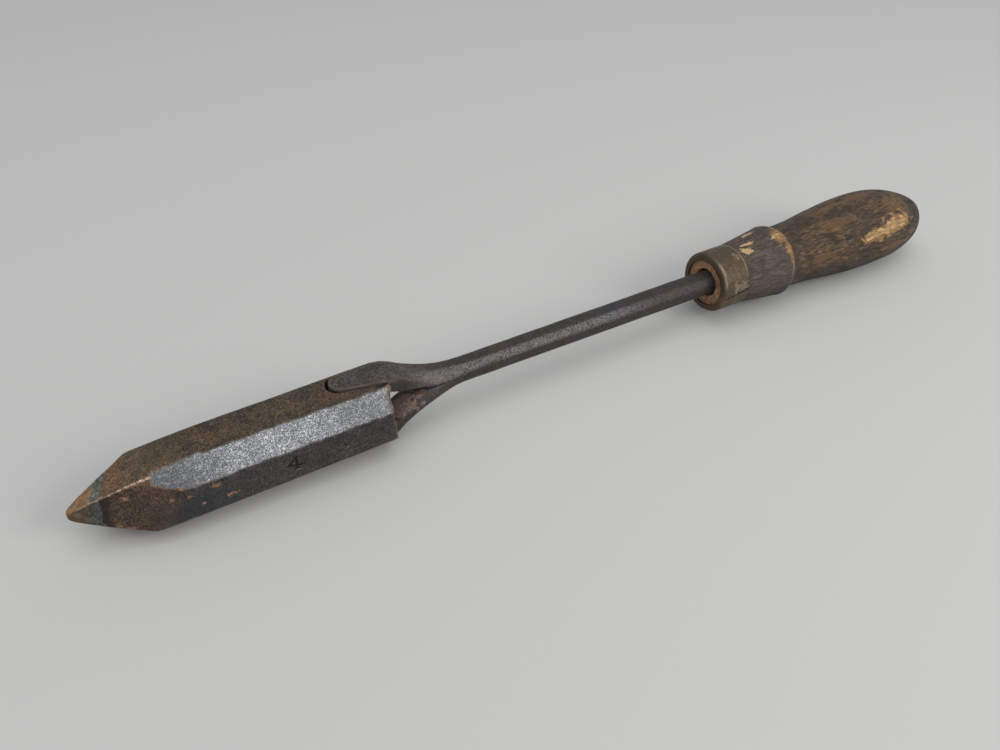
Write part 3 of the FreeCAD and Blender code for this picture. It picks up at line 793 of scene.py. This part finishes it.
    bumped(tree, shader, relief, 0.12)
    return material


bit_finish = aged_copper()
weather(bit, bit_finish, (0.014, 0.0007), (0.0020, 0.00022), 3)
classes = {"bevel": on_bevel, "bright": near_bevel, "side": on_side}
for name, member in classes.items():
    keep_value(bit.data, name, soften(bit.data, member.astype(float), 2))
border = soften(bit.data, near_bevel.astype(float), 3)
keep_value(bit.data, "border", 4 * border * (1 - border))
keep_edges(bit.data, 5, 1000.0)
print("bit has", len(bit.data.polygons), "faces and", len(bit_finish.node_tree.nodes), "nodes in its finish")

# %% [markdown]
# The shank is one bar of iron, split at its front end. The two arms are spread, beaten round
# to lie in the grooves of the bit, and the rod behind them runs on as a tang into the handle.
# The CAD solid carries this form, so a copy gets the even net and finer pits than the bit.

# %% The shank's finish


def rusted_iron():
    """Black iron, finely pitted, with brown rust, painted shade in its hollows and on the arm's near facet, painted
    light on the lower arm's inside and a painted grey highlight band along the rod.
    """
    material, tree, shader, place = new_material("rusted iron")
    edge = kept(tree, "edge")
    along_tool, across, height = put(tree, "ShaderNodeSeparateXYZ", Vector=place).outputs
    fine = use(tree, speckle, Vector=place, Size=0.7, Contrast=0.08, Seed=11.0)
    coarse = use(tree, speckle, Vector=place, Size=2.0, Contrast=0.12, Seed=12.0)
    cloud = use(tree, patches, Vector=place, Size=14.0, Share=0.5, Softness=0.12, Seed=13.0)
    rust = use(tree, patches, Vector=place, Size=5.0, Share=0.36, Softness=0.07, Seed=14.0)
    body = layered(tree, (0.072, 0.061, 0.054), (cloud, (0.090, 0.075, 0.064), 0.7), (coarse, (0.048, 0.040, 0.036), 0.6),
                   (rust, (0.090, 0.058, 0.038), 0.6))
    body = peppered(tree, body, place, (0.016, 0.014, 0.013), (0.30, 0.27, 0.24), 0.6, 51.0)
    behind = step_between(tree, along_tool, 150.0, 172.0)
    steel = layered(tree, (0.043, 0.037, 0.034), (coarse, (0.024, 0.021, 0.019), 0.6), (rust, (0.078, 0.046, 0.029), 0.6))
    tiny = use(tree, speckle, Vector=place, Size=0.42, Contrast=0.05, Seed=15.0)
    steel = layered(tree, steel, (fine, (0.024, 0.022, 0.021), 0.6), (sums(tree, "MULTIPLY", tiny, tiny), (0.150, 0.118, 0.095), 0.32))
    # A painted highlight: a pale speckled band on the side of the rod that faces the near lamp.
    turned = sums(tree, "SUBTRACT", height, axis_z)
    outward = sums(tree, "SQRT", sums(tree, "MULTIPLY_ADD", turned, turned, sums(tree, "MULTIPLY", across, across)))
    facing = sums(tree, "DIVIDE", sums(tree, "MULTIPLY_ADD", turned, 0.63, sums(tree, "MULTIPLY", across, -0.78)), outward)
    rod_highlight_band = sums(tree, "MULTIPLY", step_between(tree, facing, step_between(tree, along_tool, 145.0, 180.0, 0.55, 0.88), 1.0),
                 step_between(tree, along_tool, 290.0, 245.0, 0.25, 1.0))
    rod_highlight_band = sums(tree, "MULTIPLY", rod_highlight_band, sums(tree, "MULTIPLY_ADD", tiny, 0.95, sums(tree, "MULTIPLY_ADD", fine, -0.30, 0.16)))
    rod_highlight_band = sums(tree, "MULTIPLY", rod_highlight_band, step_between(tree, along_tool, 140.0, 156.0), clamp=True)
    body = mixed(tree, behind, body, steel)
    # Painted shade on the steep near facet of the arm behind the bit; the same mask also cuts the crease into the bump.
    facet_line = sums(tree, "MULTIPLY_ADD", along_tool, -0.60, 116.0)
    below = step_between(tree, sums(tree, "SUBTRACT", height, facet_line), 0.5, -0.4)
    facet_shade_and_crease = sums(tree, "MULTIPLY", sums(tree, "MULTIPLY", below, step_between(tree, across, -3.6, -4.8)),
                 sums(tree, "MULTIPLY", step_between(tree, along_tool, 131.0, 133.0), step_between(tree, along_tool, 158.0, 152.0)))
    body = layered(tree, body, (facet_shade_and_crease, (0.042, 0.038, 0.036), 0.7))
    spots = marks_at(tree, place, ((157.5, -6.0, 24.2), (3.6, 2.4, 1.2), 1.6), ((149.0, -5.2, 20.8), (3.0, 2.0, 0.9), 1.4),
                     ((132.0, 7.5, 34.0), (6.0, 2.0, 2.0), 1.0), grain=2.0)
    body = layered(tree, body, (spots, (0.17, 0.088, 0.046), 0.55))
    # Painted light on the lower arm's inner face, which lies in shade, laid over its reddish-brown colour.
    lit_inner_arm = marks_at(tree, place, ((141.0, -4.0, 16.5), (12.0, 5.0, 4.0), 0.8), grain=3.0)
    body = layered(tree, body, (sums(tree, "MULTIPLY", lit_inner_arm, sums(tree, "MULTIPLY_ADD", fine, -0.6, 1.0)), (0.36, 0.255, 0.205), 0.75))
    blue = marks_at(tree, place, ((255.0, -3.0, 26.0), (12.0, 4.0, 4.0), 0.8), grain=3.0)
    body = layered(tree, body, (blue, (0.042, 0.043, 0.058), 0.6), (rod_highlight_band, (0.42, 0.40, 0.395), 0.55))
    proud = step_between(tree, edge, 0.02, 0.09)
    # Painted shade: near-black in the hollows.
    shade_in_hollows = step_between(tree, edge, -0.02, -0.07)
    body = layered(tree, body, (proud, (0.14, 0.105, 0.085), 0.45), (shade_in_hollows, (0.012, 0.011, 0.010), 0.8))
    tree.links.new(body, shader.inputs["Base Color"])
    tree.links.new(step_between(tree, behind, 0.0, 1.0, 0.25, 0.40), shader.inputs["Metallic"])
    smooth_rod = sums(tree, "MULTIPLY_ADD", behind, -0.10, 0.55)
    tree.links.new(sums(tree, "MULTIPLY_ADD", coarse, 0.16, smooth_rod), shader.inputs["Roughness"])
    shader.inputs["Specular IOR Level"].default_value = 0.35
    pits = sums(tree, "MULTIPLY_ADD", coarse, 0.5, sums(tree, "MULTIPLY_ADD", fine, 0.6, sums(tree, "MULTIPLY", tiny, 0.5)))
    bumped(tree, shader, sums(tree, "MULTIPLY_ADD", facet_shade_and_crease, -3.0, pits), 0.10)
    return material


# %% The shank's mesh
shank = solid_copy("forked_shank", 0.00042)
shank_finish = rusted_iron()
weather(shank, shank_finish, (0.012, 0.0003), (0.0016, 0.00018), 5)
keep_edges(shank.data, 5, 1000.0)
print("shank has", len(shank.data.polygons), "faces and", len(shank_finish.node_tree.nodes), "nodes in its finish")

# %% [markdown]
# The ferrule is a short brass tube, turned in over the end of the wood to stop it from
# splitting. It is browned, dented and split along its seam. It is spun on the lathe, then
# given shallow hollows and pits by the wear tree, which a plain tube would lack.

# %% The ferrule's finish


def browned_brass():
    """Brass gone brown, its rim rubbed bright and given a painted highlight, with a dark split and pale scuffs."""
    material, tree, shader, place = new_material("browned brass")
    along_tool, across, height = put(tree, "ShaderNodeSeparateXYZ", Vector=place).outputs
    fine = use(tree, speckle, Vector=place, Size=0.7, Contrast=0.10, Seed=21.0)
    coarse = use(tree, speckle, Vector=place, Size=2.2, Contrast=0.14, Seed=22.0)
    cloud = use(tree, patches, Vector=place, Size=9.0, Share=0.5, Softness=0.10, Seed=23.0)
    body = layered(tree, (0.122, 0.083, 0.051), (cloud, (0.132, 0.092, 0.059), 0.6), (coarse, (0.090, 0.063, 0.042), 0.4))
    body = peppered(tree, body, place, (0.056, 0.041, 0.028), (0.17, 0.13, 0.09), 0.6, 61.0)
    wave = put(tree, "ShaderNodeTexNoise", Vector=place, Scale=0.25, Detail=4.0)
    waved = sums(tree, "MULTIPLY_ADD", sums(tree, "SUBTRACT", wave.outputs[0], 0.5), 2.0, along_tool)
    # A painted highlight on the front rim, strongest at its near upper side, over rubbed brass.
    rim = sums(tree, "MULTIPLY", step_between(tree, waved, 319.6, 320.2), step_between(tree, waved, 320.8, 321.6, 1.0, 0.0))
    rim_highlight_place = marks_at(tree, place, ((320.5, -11.5, 32.5), (4.0, 6.5, 8.0), 0.3), grain=3.0)
    body = layered(tree, body, (sums(tree, "MULTIPLY", rim, sums(tree, "MULTIPLY_ADD", rim_highlight_place, 0.7, 0.1)), (0.36, 0.29, 0.21), 0.6))
    turned_in = step_between(tree, along_tool, 320.3, 319.6)
    body = layered(tree, body, (turned_in, (0.085, 0.055, 0.035), 0.7))
    rear = sums(tree, "MULTIPLY", step_between(tree, waved, 335.4, 336.0), step_between(tree, height, 30.0, 33.0))
    body = layered(tree, body, (rear, (0.38, 0.25, 0.135), 0.75))
    scuffs = marks_at(tree, place, ((333.0, -5.5, 37.0), (1.5, 3.0, 1.5), 1.4), ((332.0, -15.6, 24.5), (4.0, 3.0, 2.6), 1.8),
                      ((327.5, -15.4, 24.0), (1.6, 3.0, 3.0), 1.8), grain=1.8)
    body = layered(tree, body, (sums(tree, "MULTIPLY", scuffs, sums(tree, "MULTIPLY_ADD", fine, -0.7, 1.0)), (0.36, 0.285, 0.20), 0.7))
    split = use(tree, stroke, Vector=place, Start=(320.5, -15.9, 19.4), End=(336.5, -16.0, 22.4), Width=1.4, Ragged=2.2)
    body = layered(tree, body, (split, (0.015, 0.012, 0.010), 0.95))
    orange = marks_at(tree, place, ((320.4, -14.6, 17.6), (1.8, 3.0, 2.6), 1.0))
    body = layered(tree, body, (orange, (0.20, 0.125, 0.060), 0.45))
    tree.links.new(body, shader.inputs["Base Color"])
    shader.inputs["Metallic"].default_value = 0.5
    shader.inputs["Specular IOR Level"].default_value = 0.3
    tree.links.new(step_between(tree, coarse, 0.0, 1.0, 0.40, 0.6), shader.inputs["Roughness"])
    relief = sums(tree, "SUBTRACT", sums(tree, "MULTIPLY_ADD", coarse, 0.5, sums(tree, "MULTIPLY", fine, 0.3)),
                  sums(tree, "MULTIPLY", split, 3.0))
    bumped(tree, shader, relief, 0.08)
    return material


# %% The ferrule's mesh
front, rear, radius, corner = 319.3, 336.4, 16.0, 2.1
ring_outline = [(rear, 14.95), (front + 1.2, 14.95), (front + 1.2, 12.2), (front, 12.2), (front, 14.0)]
for angle in np.linspace(0.1, math.pi / 2, 8):
    ring_outline.append((front + corner * (1 - math.cos(angle)), radius - corner * (1 - math.sin(angle))))
ring_outline += [(rear, radius), (rear, 14.95)]
ring = turned_piece("ferrule_detailed", straight_outline(ring_outline, 0.4), 240)
ring_finish = browned_brass()
weather(ring, ring_finish, (0.009, 0.0005), (0.002, 0.0001), 8)
print("ferrule has", len(ring.data.polygons), "faces")

# %% [markdown]
# The handle is turned from one piece of wood: a cone behind the ferrule, a sharp shoulder
# ridge, a waist and a long rounded belly. Its varnish is worn through to pale wood where the
# hand rubbed. It is spun on the same lathe, and the wear tree is stretched along the tool so
# that its pits become the long grain of the wood.

# %% The handle's finish


def worn_varnish():
    """Dark varnished wood with long grain, worn golden on the ridge and the belly, with painted shade underneath and
    towards the end, and painted light on the end grain.
    """
    material, tree, shader, place = new_material("worn varnish")
    along_tool, across, height = put(tree, "ShaderNodeSeparateXYZ", Vector=place).outputs
    long_grain = vector_sums(tree, "MULTIPLY", place, (0.14, 1.0, 1.0))
    short_grain = vector_sums(tree, "MULTIPLY", place, (0.35, 1.0, 1.0))
    fibres = use(tree, speckle, Vector=long_grain, Size=0.8, Contrast=0.11, Seed=31.0)
    bands = use(tree, patches, Vector=long_grain, Size=4.0, Share=0.5, Softness=0.045, Seed=32.0)
    blot = use(tree, patches, Vector=short_grain, Size=8.0, Share=0.45, Softness=0.05, Seed=34.0)
    dark = use(tree, patches, Vector=short_grain, Size=3.4, Share=0.42, Softness=0.035, Seed=35.0)
    flecks = use(tree, patches, Vector=short_grain, Size=2.2, Share=0.25, Softness=0.022, Seed=36.0)
    scratched = vector_sums(tree, "MULTIPLY", place, (0.10, 1.0, 1.0))
    scratches = use(tree, patches, Vector=scratched, Size=1.3, Share=0.12, Softness=0.02, Seed=37.0)
    belly = layered(tree, (0.105, 0.062, 0.034), (blot, (0.190, 0.102, 0.046), 0.8), (bands, (0.052, 0.034, 0.023), 0.6),
                    (dark, (0.034, 0.026, 0.021), 0.8), (flecks, (0.30, 0.185, 0.085), 0.75), (fibres, (0.036, 0.025, 0.018), 0.35))
    belly = layered(tree, belly, (scratches, (0.24, 0.155, 0.085), 0.6))
    belly = peppered(tree, belly, long_grain, (0.030, 0.022, 0.016), (0.26, 0.155, 0.080), 0.8, 71.0)
    blotch = use(tree, patches, Vector=place, Size=15.0, Share=0.46, Softness=0.05, Seed=33.0)
    belly = layered(tree, belly, (blotch, (0.040, 0.030, 0.025), 0.55))
    cone = layered(tree, (0.104, 0.080, 0.066), (bands, (0.064, 0.050, 0.043), 0.65), (blot, (0.128, 0.094, 0.066), 0.6),
                   (fibres, (0.040, 0.031, 0.026), 0.35), (flecks, (0.20, 0.145, 0.090), 0.55),
                   (scratches, (0.27, 0.215, 0.155), 0.65))
    cone = peppered(tree, cone, long_grain, (0.042, 0.032, 0.027), (0.17, 0.13, 0.10), 0.7, 73.0)
    body = mixed(tree, step_between(tree, along_tool, 366.0, 370.0), cone, belly)
    hollow = sums(tree, "MULTIPLY", step_between(tree, along_tool, 365.5, 368.0), step_between(tree, along_tool, 376.0, 370.0))
    body = layered(tree, body, (hollow, (0.040, 0.028, 0.020), 0.5))
    # Painted shade: darker on the underside, and darker towards the end, where the wood is also a darker brown.
    shade_below = step_between(tree, height, 22.0, 7.0)
    body = layered(tree, body, (shade_below, (0.024, 0.019, 0.016), 0.90), (step_between(tree, along_tool, 450.0, 476.0), (0.028, 0.021, 0.016), 0.75))
    worn = marks_at(tree, place, ((431.0, -19.6, 30.0), (13.0, 5.0, 3.6), 1.0), ((448.0, -18.0, 32.0), (14.0, 6.0, 5.0), 1.2),
                    ((363.6, -5.5, 40.0), (3.8, 6.0, 3.5), 1.0), ((365.0, -12.5, 36.5), (2.0, 8.0, 6.0), 0.8), grain=2.6, stretch=0.6)
    pale = marks_at(tree, place, ((446.0, -18.5, 32.0), (10.0, 4.0, 3.0), 1.5), ((430.0, -19.5, 30.5), (8.0, 4.0, 2.0), 1.5),
                    ((350.5, 7.0, 37.5), (4.0, 2.0, 2.0), 1.6), ((340.5, -4.5, 37.0), (2.5, 1.8, 2.0), 1.9), ((344.0, -1.0, 38.0), (3.5, 1.0, 1.5), 1.9), ((361.5, -4.0, 40.0), (2.2, 2.5, 2.0), 1.2), grain=2.0, stretch=0.4)
    orange = marks_at(tree, place, ((403.0, -9.5, 38.5), (13.0, 4.0, 3.0), 1.5), ((431.0, 4.0, 43.0), (12.0, 4.0, 3.0), 1.6),
                      ((409.0, 3.0, 41.5), (10.0, 3.0, 3.0), 1.8), ((390.0, -17.3, 26.0), (8.0, 3.0, 4.5), 1.9),
                      ((454.0, -17.5, 20.0), (13.0, 6.0, 3.5), 1.5), ((452.0, -8.0, 38.5), (12.0, 6.0, 4.0), 1.6), grain=3.4, stretch=0.4)
    wave = put(tree, "ShaderNodeTexNoise", Vector=place, Scale=0.3, Detail=4.0)
    waved = sums(tree, "MULTIPLY_ADD", sums(tree, "SUBTRACT", wave.outputs[0], 0.5), 2.5, along_tool)
    ridge_line = sums(tree, "MULTIPLY", step_between(tree, waved, 363.9, 364.6), step_between(tree, waved, 365.2, 366.0, 1.0, 0.0))
    ridge_line = sums(tree, "MULTIPLY", ridge_line, step_between(tree, height, 20.0, 34.0, 0.25, 1.0))
    body = layered(tree, body, (orange, (0.205, 0.112, 0.045), 0.60), (worn, (0.44, 0.250, 0.098), 0.85),
                   (ridge_line, (0.33, 0.195, 0.095), 0.7), (pale, (0.72, 0.47, 0.22), 0.65))
    broken = use(tree, patches, Vector=short_grain, Size=1.8, Share=0.42, Softness=0.03, Seed=38.0)
    cracks = sums(tree, "MULTIPLY", sums(tree, "MAXIMUM", fibres, broken), sums(tree, "MAXIMUM", worn, orange))
    body = layered(tree, body, (cracks, (0.085, 0.048, 0.026), 0.6))
    # The end grain inside the ferrule is its own orange-brown, painted lighter as painted light where the lip shades
    # it.
    end_grain = step_between(tree, along_tool, 336.3, 335.9)
    fine_rings = use(tree, speckle, Vector=place, Size=0.8, Contrast=0.08, Seed=39.0)
    lit_end_grain = layered(tree, (0.44, 0.25, 0.13), (fine_rings, (0.17, 0.095, 0.055), 0.6), (dark, (0.12, 0.070, 0.042), 0.6))
    body = mixed(tree, end_grain, body, lit_end_grain)
    tree.links.new(body, shader.inputs["Base Color"])
    tree.links.new(step_between(tree, sums(tree, "MAXIMUM", worn, dark), 0.0, 1.0, 0.50, 0.72), shader.inputs["Roughness"])
    shader.inputs["Specular IOR Level"].default_value = 0.25
    relief = sums(tree, "SUBTRACT", sums(tree, "MULTIPLY", sums(tree, "SUBTRACT", 1.0, fibres), 0.6), sums(tree, "MULTIPLY", dark, 0.5))
    bumped(tree, shader, relief, 0.18)
    return material


# %% The handle's mesh
bore_outline = straight_outline([(408, 0), (408, 6.45), (326.5, 6.45), (326.5, 7.4), (320.5, 7.4)], 3.0)
neck_outline = straight_outline([(320.5, 7.4), (320.5, 14.9), (336.55, 14.9), (336.6, 15.7), (336.9, 15.9), (362.4, 19.05)], 0.6)
grip_outline = smooth_outline([(362.4, 19.05), (365.2, 19.4), (367.9, 18.2), (370.6, 17.5), (377, 17.3), (386, 17.7), (397, 18.9),
                               (408, 20.0), (421, 21.0), (434, 21.3), (445, 21.0), (455, 20.0), (467, 17.2), (476, 13.6),
                               (482.5, 9.0), (486, 5.0), (487.3, 0)], 0.5)
handle = turned_piece("wooden_handle_detailed", np.concatenate([bore_outline, neck_outline[1:], grip_outline[1:]]), 250, (2.2, 435, 478))
handle_finish = worn_varnish()
weather(handle, handle_finish, (0.010, 0.0007), (0.0016, 0.00028), 9, (0.12, 1, 1))
print("handle has", len(handle.data.polygons), "faces and", len(handle_finish.node_tree.nodes), "nodes in its finish")

# %% [markdown]
# Each piece rides on the tool's one body and stands for one CAD node, whose own mesh is then
# hidden. The tool has no moving parts, so nothing else is set.

# %% Join the pieces to the frame
for piece, node, finish in ((bit, "copper_bit", "copper"), (shank, "forked_shank", "iron"), (ring, "ferrule", "ferrule_metal"),
                            (handle, "wooden_handle", "stained_wood")):
    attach(piece, "root")
    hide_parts(node)
    print(piece.name, "stands for", node)

# %% [markdown]
# The floor is plain and pale, and the light is soft. One lamp stands on the near side, where
# the near bevel and the rod mirror it as they do in the photograph. A broad one hangs
# overhead, and a pale world fills the rest.

# %% The floor


def pale_floor():
    """A plain pale floor."""
    material, tree, shader, place = new_material("pale floor")
    shader.inputs["Base Color"].default_value = (0.57, 0.565, 0.55, 1)
    shader.inputs["Roughness"].default_value = 0.9
    return material


floor_mesh = bpy.data.meshes.new("floor")
reach = 6.0
ground = float(min(cad_low[2], 0)) - 0.0001
floor_mesh.from_pydata([(-reach, -reach, ground), (reach, -reach, ground), (reach, reach, ground), (-reach, reach, ground)],
                       [], [(0, 1, 2, 3)])
floor_mesh.materials.append(pale_floor())
floor = new_piece("floor", floor_mesh)

# %% The lamps


def soft_lamp(name, place, aim, size, power):
    """A square lamp that faces a place."""
    data = bpy.data.lights.new(name, "AREA")
    data.size = size
    data.energy = power
    lamp = bpy.data.objects.new(name, data)
    lamp.location = place
    lamp.rotation_euler = (Vector(aim) - Vector(place)).to_track_quat("-Z", "Y").to_euler()
    bpy.context.collection.objects.link(lamp)


soft_lamp("near lamp", (0.70, -1.25, 0.90), (0, 0, 0), 0.75, 11.0)
soft_lamp("overhead lamp", (-0.2, -0.4, 1.8), (0, 0, 0), 2.2, 16.0)
world = bpy.data.worlds.new("world")
world.use_nodes = True
world.node_tree.nodes["Background"].inputs["Color"].default_value = (0.95, 0.97, 1.0, 1)
world.node_tree.nodes["Background"].inputs["Strength"].default_value = 0.47
bpy.context.scene.world = world
bpy.context.scene.view_settings.view_transform = "Standard"
print("lamps", len(bpy.data.lights))
